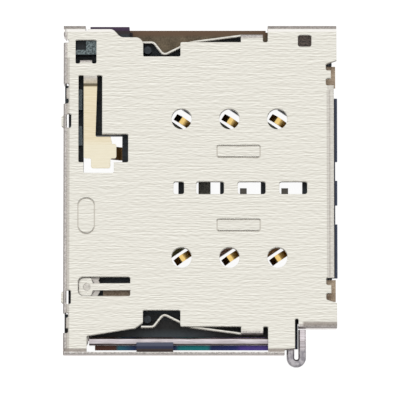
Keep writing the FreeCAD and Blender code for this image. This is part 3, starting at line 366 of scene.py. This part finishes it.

# %% Coined lines, and painted shade on the tongue's head
COIN_FLOOR, COIN_PLAY = 1.47, 0.004
FLAT = 0.999
TONGUE_SHADE_SPOT, TONGUE_SHADE_RADIUS = (-6.0, -5.1), 0.21
depth = {0: spot.outputs["Z"], 1: COIN_FLOOR, 2: COIN_PLAY}
at_floor = add(tree, "Math", depth, operation="COMPARE")
level = add(tree, "Math", {0: upright.outputs[0], 1: FLAT}, operation="GREATER_THAN")
coin = add(tree, "Math", {0: at_floor.outputs[0], 1: level.outputs[0]}, operation="MULTIPLY")
# Painted shade: the coined grooves' floors are a little darker
coined = add(
    tree, "Mix",
    {FACTOR: coin.outputs[0], FIRST: marked, SECOND: linear("#D3CDC1")},
    data_type="RGBA",
)
# A spot of painted shade on the tongue's head, in the speckled bend tone
flat_spot = add(tree, "CombineXYZ", {"X": spot.outputs["X"], "Y": spot.outputs["Y"]})
away = add(tree, "VectorMath", {0: flat_spot.outputs[0], 1: (*TONGUE_SHADE_SPOT, 0)}, operation="DISTANCE")
tongue_shade = add(
    tree, "MapRange",
    {VALUE: away.outputs["Value"], START: TONGUE_SHADE_RADIUS, FULL: TONGUE_SHADE_RADIUS - 0.02, MOST: 0.8},
)
tongue_shade_tone = add(
    tree, "Mix",
    {FACTOR: tongue_shade.outputs[0], FIRST: coined.outputs[MIXED], SECOND: speckled_tilt_shade.outputs[0]},
    data_type="RGBA",
)
print("coined lines at %.2f mm" % COIN_FLOOR)

# %% The sprung arm and its fold
ARM_LOW, ARM_HIGH = (-6.5, 0.9), (-4.0, 6.2)
SHEET_TOP, ARM_DEPTH = 1.485, 1.40
ARM_FOLD, ARM_HEAD = 5.66, 2.4
sunk = {VALUE: spot.outputs["Z"], START: SHEET_TOP, FULL: ARM_DEPTH}
there = add(tree, "MapRange", sunk).outputs[0]
for axis, low, high in zip("XY", ARM_LOW, ARM_HIGH):
    for operation, edge in (("GREATER_THAN", low), ("LESS_THAN", high)):
        side = add(tree, "Math", {0: spot.outputs[axis], 1: edge}, operation=operation)
        there = add(tree, "Math", {0: there, 1: side.outputs[0]}, operation="MULTIPLY").outputs[0]
# Painted shade: tan where the arm is folded at its root, darkest in the crease
folded = add(
    tree, "MapRange",
    {VALUE: spot.outputs["Y"], START: ARM_FOLD - 0.13, FULL: ARM_FOLD - 0.10},
)
fold_shade = add(
    tree, "Mix",
    {FACTOR: stretch.outputs[0], FIRST: linear("#8F8064"), SECOND: linear("#D9CBAE")},
    data_type="RGBA",
)
creased = strip(tree, spot.outputs["Y"], ARM_FOLD, reach=0.11, full=0.05)
crease_shade = add(
    tree, "Mix",
    {FACTOR: creased, FIRST: fold_shade.outputs[MIXED], SECOND: linear("#6F644E")},
    data_type="RGBA",
)
arm_tone = add(
    tree, "Mix",
    {FACTOR: tone.outputs[0], FIRST: linear("#E8DAB9"), SECOND: linear("#F5E9CE")},
    data_type="RGBA",
)
headwards = add(
    tree, "MapRange",
    {VALUE: spot.outputs["Y"], START: ARM_HEAD + 0.4, FULL: ARM_HEAD, MOST: 0.6},
)
head_tone = add(
    tree, "Mix",
    {FACTOR: headwards.outputs[0], FIRST: arm_tone.outputs[MIXED], SECOND: linear("#F5F0DC")},
    data_type="RGBA",
)
cream = add(
    tree, "Mix",
    {FACTOR: folded.outputs[0], FIRST: head_tone.outputs[MIXED], SECOND: crease_shade.outputs[MIXED]},
    data_type="RGBA",
)
face_tone = add(
    tree, "Mix",
    {FACTOR: there, FIRST: tongue_shade_tone.outputs[MIXED], SECOND: cream.outputs[MIXED]},
    data_type="RGBA",
)
print("arm folds at %.2f mm" % ARM_FOLD)

# %% [markdown]
# ## Sheared rims
# Every opening of the cover is punched, and a thin dark line is drawn along its rim; painted shade
# makes it heavier on the far side of each opening. The line could be modelled as a hair-thin lip,
# but that would cost many faces. The bevel node tilts the normal close to a sharp edge, so the tilt
# tells where a rim is and which way it looks. The real rim is too fine to show in the picture, so
# the line is drawn one or two picture points wide.

# %% A thin dark line along the rims, with painted shade on their far sides
RIM_REACH = 0.10
RIM_SHARE, FAR_SHADE_SHARE = 0.18, 0.95
soft_edge = add(tree, "Bevel", {"Radius": RIM_REACH * MM}, samples=6)
true_face = add(tree, "NewGeometry")
both_normals = {0: soft_edge.outputs[0], 1: true_face.outputs["Normal"]}
# One away from an edge, less the nearer the rim
agree = add(tree, "VectorMath", both_normals, operation="DOT_PRODUCT")
rim = add(
    tree, "MapRange",
    {VALUE: agree.outputs["Value"], START: 0.95, FULL: 0.80, MOST: RIM_SHARE},
)
tilt = add(tree, "SeparateXYZ", {0: soft_edge.outputs[0]})
# Painted shade: the rim is darker on the far side of each opening
far_shade = add(
    tree, "MapRange",
    {VALUE: tilt.outputs["Y"], START: -0.06, FULL: -0.20, MOST: FAR_SHADE_SHARE},
)
far_rim_shade = add(tree, "Math", {0: far_shade.outputs[0], 1: level.outputs[0]}, operation="MULTIPLY")
dark_rim = add(tree, "Math", {0: rim.outputs[0], 1: far_rim_shade.outputs[0]}, operation="MAXIMUM")
rim_tone = add(
    tree, "Mix",
    {FACTOR: dark_rim.outputs[0], FIRST: face_tone.outputs[MIXED], SECOND: linear("#443F38")},
    data_type="RGBA",
)
tree.links.new(rim_tone.outputs[MIXED], shader.inputs["Base Color"])
wear("top_shell", steel)
print("burr %.2f mm wide" % RIM_REACH)

# %% [markdown]
# ## Black LCP
# The housing is moulded in a liquid crystal polymer with short glass fibres, which keeps its size
# through soldering. It is a slate black with a soft satin skin, a fine speckle where fibres come
# near the surface, and long pale flow marks along the way the melt ran. The block under the key
# window and the ribs at the back are painted a paler grey, as painted light on their tops. The
# cells under the contacts, the small port and one solder window get olive, brown and amber as
# painted light and painted reflections from the metal round them, with painted shade in the port.
# The lips look bluish, the rod's keeper is bluish with a band of painted highlight, and the
# shoulder outside the cover turns darker, then purple. Each of these could be a material of its
# own, but they fade into one another, so one finish mixes them by place.

# %% Slate skin with flow marks
SPECKLE = 0.09
SKIN_DEPTH = 0.006 * MM
FLOW = (1.2, 0.25, 0.25)
plastic, tree, place, shader = new_finish(
    "black_lcp", Roughness=0.5, IOR=1.62, Specular_IOR_Level=0.3
)
small = add(tree, "TexNoise", {"Vector": place, "Scale": 1 / SPECKLE, "Detail": 2.0})
pace = [1 / size for size in FLOW]
flow_way = add(tree, "VectorMath", {0: place, 1: pace}, operation="MULTIPLY")
swirl = {"Vector": flow_way.outputs[0], "Scale": 1.0, "Detail": 3.0, "Distortion": 0.6}
flow = add(tree, "TexNoise", swirl)
mottle = add(tree, "Mix", {FACTOR: 0.5, LOW: small.outputs[0], HIGH: flow.outputs[0]})
slate = add(tree, "MapRange", {VALUE: mottle.outputs[0], START: 0.38, FULL: 0.66})
slate_tone = add(
    tree, "Mix",
    {FACTOR: slate.outputs[0], FIRST: linear("#0F1215"), SECOND: linear("#454F57")},
    data_type="RGBA",
)
satin = add(tree, "MapRange", {VALUE: small.outputs[0], **SOFT, LEAST: 0.38, MOST: 0.6})
tree.links.new(satin.outputs[0], shader.inputs["Roughness"])
texture = add(tree, "Bump", {"Strength": 0.3, "Distance": SKIN_DEPTH, "Height": small.outputs[0]})
tree.links.new(texture.outputs[0], shader.inputs["Normal"])
print("speckle %.2f mm" % SPECKLE)

# %% Ribs, paler block, port, solder window and cells
NEAR_CELLS = (("Y", -2.4, -2.6), ("Y", -4.6, -4.4), ("Z", 0.30, 0.40))
# Dark and pale colour, and for each limit the axis, where the patch starts and where it is full
PATCHES = (
    # The ribs at the back, and the block under the key window, painted paler as light on their tops
    ("#5F6C73", "#87949B", (("Z", 0.90, 0.98), ("X", -3.6, -4.0), ("Y", 6.8, 6.6))),
    ("#3E494C", "#93A3A5", (("Z", 1.30, 1.34), ("X", -5.3, -5.5), ("Y", 6.6, 6.8))),
    # The small port, with painted shade, and the block in one solder window, painted lighter as
    # light through it
    (
        "#2E2622", "#6F6159",
        (("X", 4.8, 5.0), ("X", 6.3, 6.2), ("Y", 7.3, 7.5), ("Y", 8.42, 8.36)),
    ),
    (
        "#3F3C34", "#7B786C",
        (("X", -0.3, -0.2), ("X", 0.8, 0.7), ("Y", -1.0, -0.8), ("Y", 1.0, 0.8)),
    ),
    # The far cells together, and the near ones from back to front, tinted as painted light and
    # reflections
    (
        "#55564A", "#94957F",
        (("X", -2.2, -2.0), ("X", 5.2, 5.0), ("Y", 3.75, 3.68), ("Y", 2.6, 2.8), ("Z", 0.30, 0.40)),
    ),
    ("#45431F", "#8C8A45", (("X", -2.2, -2.0), ("X", 0.5, 0.3), *NEAR_CELLS)),
    ("#6A4335", "#B08873", (("X", 0.3, 0.5), ("X", 3.0, 2.8), *NEAR_CELLS)),
    ("#855A26", "#CC9A55", (("X", 2.8, 3.0), ("X", 5.2, 5.0), *NEAR_CELLS)),
)
spot = add(tree, "SeparateXYZ", {0: place})
grains = add(tree, "MapRange", {VALUE: small.outputs[0], **HARD})
tone = slate_tone
for dark, pale, limits in PATCHES:
    patch = add(
        tree, "Mix",
        {FACTOR: grains.outputs[0], FIRST: linear(dark), SECOND: linear(pale)},
        data_type="RGBA",
    )
    share = 1.0
    for axis, start, full in limits:
        side = add(tree, "MapRange", {VALUE: spot.outputs[axis], START: start, FULL: full})
        share = add(tree, "Math", {0: side.outputs[0], 1: share}, operation="MULTIPLY").outputs[0]
    tone = add(
        tree, "Mix",
        {FACTOR: share, FIRST: tone.outputs[MIXED], SECOND: patch.outputs[MIXED]},
        data_type="RGBA",
    )
print("patches:", len(PATCHES))

# %% The near floor's sheen
NEAR_FLOOR = 0.50
SHEEN_START, SHEEN_FULL = -7.26, -7.68
NEAR_START, NEAR_FULL = -6.6, -6.9
# Painted sheen in the near floor's middle, and painted shade, near black, towards its ends under
# the cover
middle = strip(tree, spot.outputs["X"], middle=-1.5, reach=2.7, full=1.0)
inwards = add(tree, "MapRange", {VALUE: spot.outputs["Y"], START: SHEEN_START, FULL: SHEEN_FULL})
sheen = add(tree, "Math", {0: middle, 1: inwards.outputs[0]}, operation="MULTIPLY")
sheen_and_shade_tone = add(
    tree, "Mix",
    {FACTOR: sheen.outputs[0], FIRST: linear("#080706"), SECOND: linear("#465056")},
    data_type="RGBA",
)
at_floor = strip(tree, spot.outputs["Z"], NEAR_FLOOR, reach=0.12, full=0.06)
near_side = add(tree, "MapRange", {VALUE: spot.outputs["Y"], START: NEAR_START, FULL: NEAR_FULL})
on_floor = add(tree, "Math", {0: at_floor, 1: near_side.outputs[0]}, operation="MULTIPLY")
tone = add(
    tree, "Mix",
    {FACTOR: on_floor.outputs[0], FIRST: tone.outputs[MIXED], SECOND: sheen_and_shade_tone.outputs[MIXED]},
    data_type="RGBA",
)
print("near floor at %.2f mm" % NEAR_FLOOR)

# %% Bluish lips and keeper, and the purple shoulder
# The keeper's pale band is a painted highlight, with navy and then brown below it; the shoulder
# turns darker, then purple, towards the far edge
for axis, start, full, colour in (
    ("X", 7.04, 7.10, "#1C2338"), ("X", 7.14, 7.27, "#5E6882"),
    ("Y", -7.80, -7.90, "#5E6378"), ("Y", -8.20, -8.26, "#2E3450"), ("Y", -8.36, -8.40, "#40322F"),
    ("Y", 8.34, 8.40, "#2B2126"), ("Y", 8.52, 8.58, "#4A3652"),
):
    there = add(tree, "MapRange", {VALUE: spot.outputs[axis], START: start, FULL: full})
    tone = add(
        tree, "Mix",
        {FACTOR: there.outputs[0], FIRST: tone.outputs[MIXED], SECOND: linear(colour)},
        data_type="RGBA",
    )
tree.links.new(tone.outputs[MIXED], shader.inputs["Base Color"])
wear("housing", plastic)
print("housing wears", plastic.name)

# %% [markdown]
# ## Ribs beside the beams
# In each cell a moulded rib runs along the contact's beam, a few tenths of a millimetre from it,
# and shows as a dark edge in the round hole. It could be cut from a copy of the housing, but a
# slim prism with a broken edge, let into the cell's wall, is simpler and gives the same edge.

# %% A rib along each beam
BEAM_TURN = math.radians(34)
TIPS = {"back": -0.977, "mid": 1.560, "front": 4.097}
# Each row's name, its place in Y, which way its beams turn, and how far a rib stands beside a beam
ROWS = (("near", -3.57, 1, 0.38), ("far", 3.80, -1, 0.30))
RIB_START, RIB_END, RIB_WALL = -0.70, 2.40, 0.60
RIB_FOOT, RIB_TOP, RIB_EDGE = 0.04, 0.485, 0.03
for row_name, row_y, way, beside in ROWS:
    corners = [(RIB_START, beside), (RIB_END, beside), (RIB_END, RIB_WALL), (RIB_START, RIB_WALL)]
    for tip_name, tip_x in TIPS.items():
        plan = [
            (
                tip_x + along * math.cos(BEAM_TURN) - off * math.sin(BEAM_TURN),
                row_y + way * (along * math.sin(BEAM_TURN) + off * math.cos(BEAM_TURN)),
            )
            for along, off in corners[::way]
        ]
        points = [(x * MM, y * MM, z * MM) for z in (RIB_FOOT, RIB_TOP) for x, y in plan]
        sides = [(i, (i + 1) % 4, (i + 1) % 4 + 4, i + 4) for i in range(4)]
        rib_mesh = bpy.data.meshes.new("cell_rib_%s_%s" % (row_name, tip_name))
        rib_mesh.from_pydata(points, [], [(3, 2, 1, 0), (4, 5, 6, 7), *sides])
        rib_mesh.materials.append(plastic)
        rib = bpy.data.objects.new(rib_mesh.name, rib_mesh)
        bpy.context.scene.collection.objects.link(rib)
        broken = rib.modifiers.new("broken_edge", "BEVEL")
        broken.width = RIB_EDGE * MM
        broken.segments = 3
        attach(rib, "reader")
    print(row_name, "ribs stand %.2f mm from the beams' middles" % beside)

# %% [markdown]
# ## Tinned and tinted base plate
# The flat frame under the housing is steel strip with a thin tin finish, browned by heat. It shows
# in the far cut-out, at the two cut-off tabs beside the mouth, where it is paler, and at the
# bottom of the rod's channel. There it has bands of brown, navy, teal and violet along X, and a
# ramp over X puts each band where it ends. They could be worked out from the film's thickness, but
# a ramp over X puts each band where it ends.

# %% The base frame's finish
CHANNEL_START, CHANNEL_END = -6.0, 4.0
CLOUD, GRIT = 0.6, 0.08
BANDS = (
    (-4.5, "#5B4038"), (-4.3, "#3A7080"), (-3.5, "#3D4A6E"), (-1.3, "#3D4A6E"), (-1.1, "#2F8488"),
    (0.4, "#2F8488"), (0.6, "#333E66"), (1.9, "#3A3F78"), (2.2, "#5B4A9B"),
)
tinted, tree, place, shader = new_finish("heat_tinted_steel", Metallic=1.0, Roughness=0.38)
cloud = add(tree, "TexNoise", {"Vector": place, "Scale": 1 / CLOUD, "Detail": 3.0})
grit = add(tree, "TexNoise", {"Vector": place, "Scale": 1 / GRIT, "Detail": 2.0})
patch = add(tree, "Mix", {FACTOR: 0.5, LOW: cloud.outputs[0], HIGH: grit.outputs[0]})
patchy = add(tree, "MapRange", {VALUE: patch.outputs[0], **FIRM})
brown = add(
    tree, "Mix",
    {FACTOR: patchy.outputs[0], FIRST: linear("#4E463A"), SECOND: linear("#7A6D5B")},
    data_type="RGBA",
)
tan = add(
    tree, "Mix",
    {FACTOR: patchy.outputs[0], FIRST: linear("#8A7766"), SECOND: linear("#C6B49E")},
    data_type="RGBA",
)
spot = add(tree, "SeparateXYZ", {0: place})
along = add(tree, "MapRange", {VALUE: spot.outputs["X"], START: CHANNEL_START, FULL: CHANNEL_END})
channel_bands = add(tree, "ValToRGB", {0: along.outputs[0]})
channel_bands.color_ramp.elements[0].color = linear("#5B4038")
channel_bands.color_ramp.elements[1].color = linear("#6A5AA6")
for x, colour in BANDS:
    share = (x - CHANNEL_START) / (CHANNEL_END - CHANNEL_START)
    channel_bands.color_ramp.elements.new(share).color = linear(colour)
tone = brown.outputs[MIXED]
for axis, start, full, colour in (
    ("X", 6.30, 6.50, tan.outputs[MIXED]),
    ("Y", -4.0, -4.3, tan.outputs[MIXED]),
    ("Y", -7.2, -7.5, channel_bands.outputs[0]),
    ("Y", 8.32, 8.50, linear("#6C5848")),
):
    there = add(tree, "MapRange", {VALUE: spot.outputs[axis], START: start, FULL: full})
    tone = add(
        tree, "Mix", {FACTOR: there.outputs[0], FIRST: tone, SECOND: colour}, data_type="RGBA"
    ).outputs[MIXED]
tree.links.new(tone, shader.inputs["Base Color"])
wear("base_frame", tinted)
print("oxide bands:", len(BANDS))

# %% [markdown]
# ## Gold-plated phosphor bronze
# The contacts are sprung bronze strip with gold over nickel. The top of each beam, where a card
# rubs, gets a bright painted highlight, and the beam is painted browner towards its root as shade
# deep in the hole. The flat leads, which are soldered, are grey tin, painted dark as shade under
# the housing, and the switch terminal beside the sprung arm is brown and nearly matte. Height and
# place tell these apart, so one finish does for all seven pieces.

# %% The contacts' finish
SCRATCH = (0.5, 0.04, 0.04)
BEAM_SHADED, BEAM_TOP = 0.88, 0.978
LEAD_END, LEAD_TOP = 0.20, 0.14
TERMINAL_END = -2.9
gold, tree, place, shader = new_finish("gold_plated_phosphor_bronze", Metallic=1.0, Roughness=0.25)
spot = add(tree, "SeparateXYZ", {0: place})
# Painted shade low on the beam, brown towards the root, and painted highlight at the crest
crest_highlight = add(tree, "MapRange", {VALUE: spot.outputs["Z"], START: BEAM_SHADED, FULL: BEAM_TOP})
pace = [1 / size for size in SCRATCH]
scratch_way = add(tree, "VectorMath", {0: place, 1: pace}, operation="MULTIPLY")
scratches = add(tree, "TexNoise", {"Vector": scratch_way.outputs[0], "Scale": 1.0, "Detail": 2.0})
gold_tone = add(
    tree, "Mix",
    {FACTOR: crest_highlight.outputs[0], FIRST: linear("#7A5119"), SECOND: linear("#F2CF82")},
    data_type="RGBA",
)
# The leads are grey tin, painted darker as shade under the housing
tin_and_shade = add(tree, "MapRange", {VALUE: spot.outputs["Z"], START: LEAD_END, FULL: LEAD_TOP})
lead_tone = add(
    tree, "Mix",
    {FACTOR: tin_and_shade.outputs[0], FIRST: gold_tone.outputs[MIXED], SECOND: linear("#57544F")},
    data_type="RGBA",
)
browned = add(
    tree, "MapRange",
    {VALUE: spot.outputs["X"], START: TERMINAL_END + 0.1, FULL: TERMINAL_END},
)
terminal_tone = add(
    tree, "Mix",
    {FACTOR: browned.outputs[0], FIRST: lead_tone.outputs[MIXED], SECOND: linear("#A8804E")},
    data_type="RGBA",
)
tree.links.new(terminal_tone.outputs[MIXED], shader.inputs["Base Color"])
bare_metal = add(tree, "MapRange", {VALUE: browned.outputs[0], LEAST: 1.0, MOST: 0.15})
tree.links.new(bare_metal.outputs[0], shader.inputs["Metallic"])
shine = add(tree, "MapRange", {VALUE: scratches.outputs[0], **SOFT, LEAST: 0.18, MOST: 0.34})
tree.links.new(shine.outputs[0], shader.inputs["Roughness"])
contacts = [name for name in nodes if name.startswith("contact_")] + ["detect_terminal"]
for name in contacts:
    wear(name, gold)
print("plated contacts:", len(contacts))

# %% [markdown]
# ## Rod, lever and pin
# The rod is blanked from harder strip and stands on edge. Its sheared faces carry fine lines along
# the cut, and it looks a cool lilac silver beside the warm cover. Lever and pin are plain bright
# steel under the cover. The three could each have a finish written out, but they differ only in
# colour, so one loop makes them. The rod's painted shade, darker down its slope to its foot, and
# the greyer, mottled hook are found by their place in Y.

# %% The rod's, the lever's and the pin's finish
CUT_LINE = (1.0, 0.06, 0.06)
ROD_CREST, ROD_FOOT = -7.90, -8.06
HOOK_EDGE, HOOK_GRIT = -8.4, 0.20
for piece_name, finish_name, low, high in (
    ("eject_rod", "sheared_rod_steel", "#BDB4B6", "#EBE3E7"),
    ("eject_lever", "blanked_lever_steel", "#B9B4AE", "#D8D3CC"),
    ("lever_pin", "turned_pin_steel", "#BFBBB5", "#DEDAD4"),
):
    bright, tree, place, shader = new_finish(finish_name, Metallic=1.0, Roughness=0.3)
    pace = [1 / size for size in CUT_LINE]
    line_way = add(tree, "VectorMath", {0: place, 1: pace}, operation="MULTIPLY")
    lines = add(tree, "TexNoise", {"Vector": line_way.outputs[0], "Scale": 1.0, "Detail": 3.0})
    tone = add(tree, "MapRange", {VALUE: lines.outputs[0], **FIRM})
    mixed = add(
        tree, "Mix",
        {FACTOR: tone.outputs[0], FIRST: linear(low), SECOND: linear(high)},
        data_type="RGBA",
    )
    spot = add(tree, "SeparateXYZ", {0: place})
    # Painted shade: the rod is darker down its slope towards its foot
    slope_shade = add(
        tree, "MapRange",
        {VALUE: spot.outputs["Y"], START: ROD_CREST, FULL: ROD_FOOT, LEAST: 1.06, MOST: 0.76},
    )
    slope_tone = {0: mixed.outputs[MIXED], "Scale": slope_shade.outputs[0]}
    shaded = add(tree, "VectorMath", slope_tone, operation="SCALE")
    hooked = add(
        tree, "MapRange",
        {VALUE: spot.outputs["Y"], START: HOOK_EDGE, FULL: HOOK_EDGE - 0.1},
    )
    grit = add(tree, "TexNoise", {"Vector": place, "Scale": 1 / HOOK_GRIT, "Detail": 3.0})
    hook_mottle = add(tree, "MapRange", {VALUE: grit.outputs[0], **HARD})
    hook_tone = add(
        tree, "Mix",
        {FACTOR: hook_mottle.outputs[0], FIRST: linear("#949096"), SECOND: linear("#BDB9BC")},
        data_type="RGBA",
    )
    mixed = add(
        tree, "Mix",
        {FACTOR: hooked.outputs[0], FIRST: shaded.outputs[0], SECOND: hook_tone.outputs[MIXED]},
        data_type="RGBA",
    )
    tree.links.new(mixed.outputs[MIXED], shader.inputs["Base Color"])
    shine = add(tree, "MapRange", {VALUE: lines.outputs[0], **SOFT, LEAST: 0.24, MOST: 0.38})
    tree.links.new(shine.outputs[0], shader.inputs["Roughness"])
    wear(piece_name, bright)
    print(piece_name, "wears", finish_name)
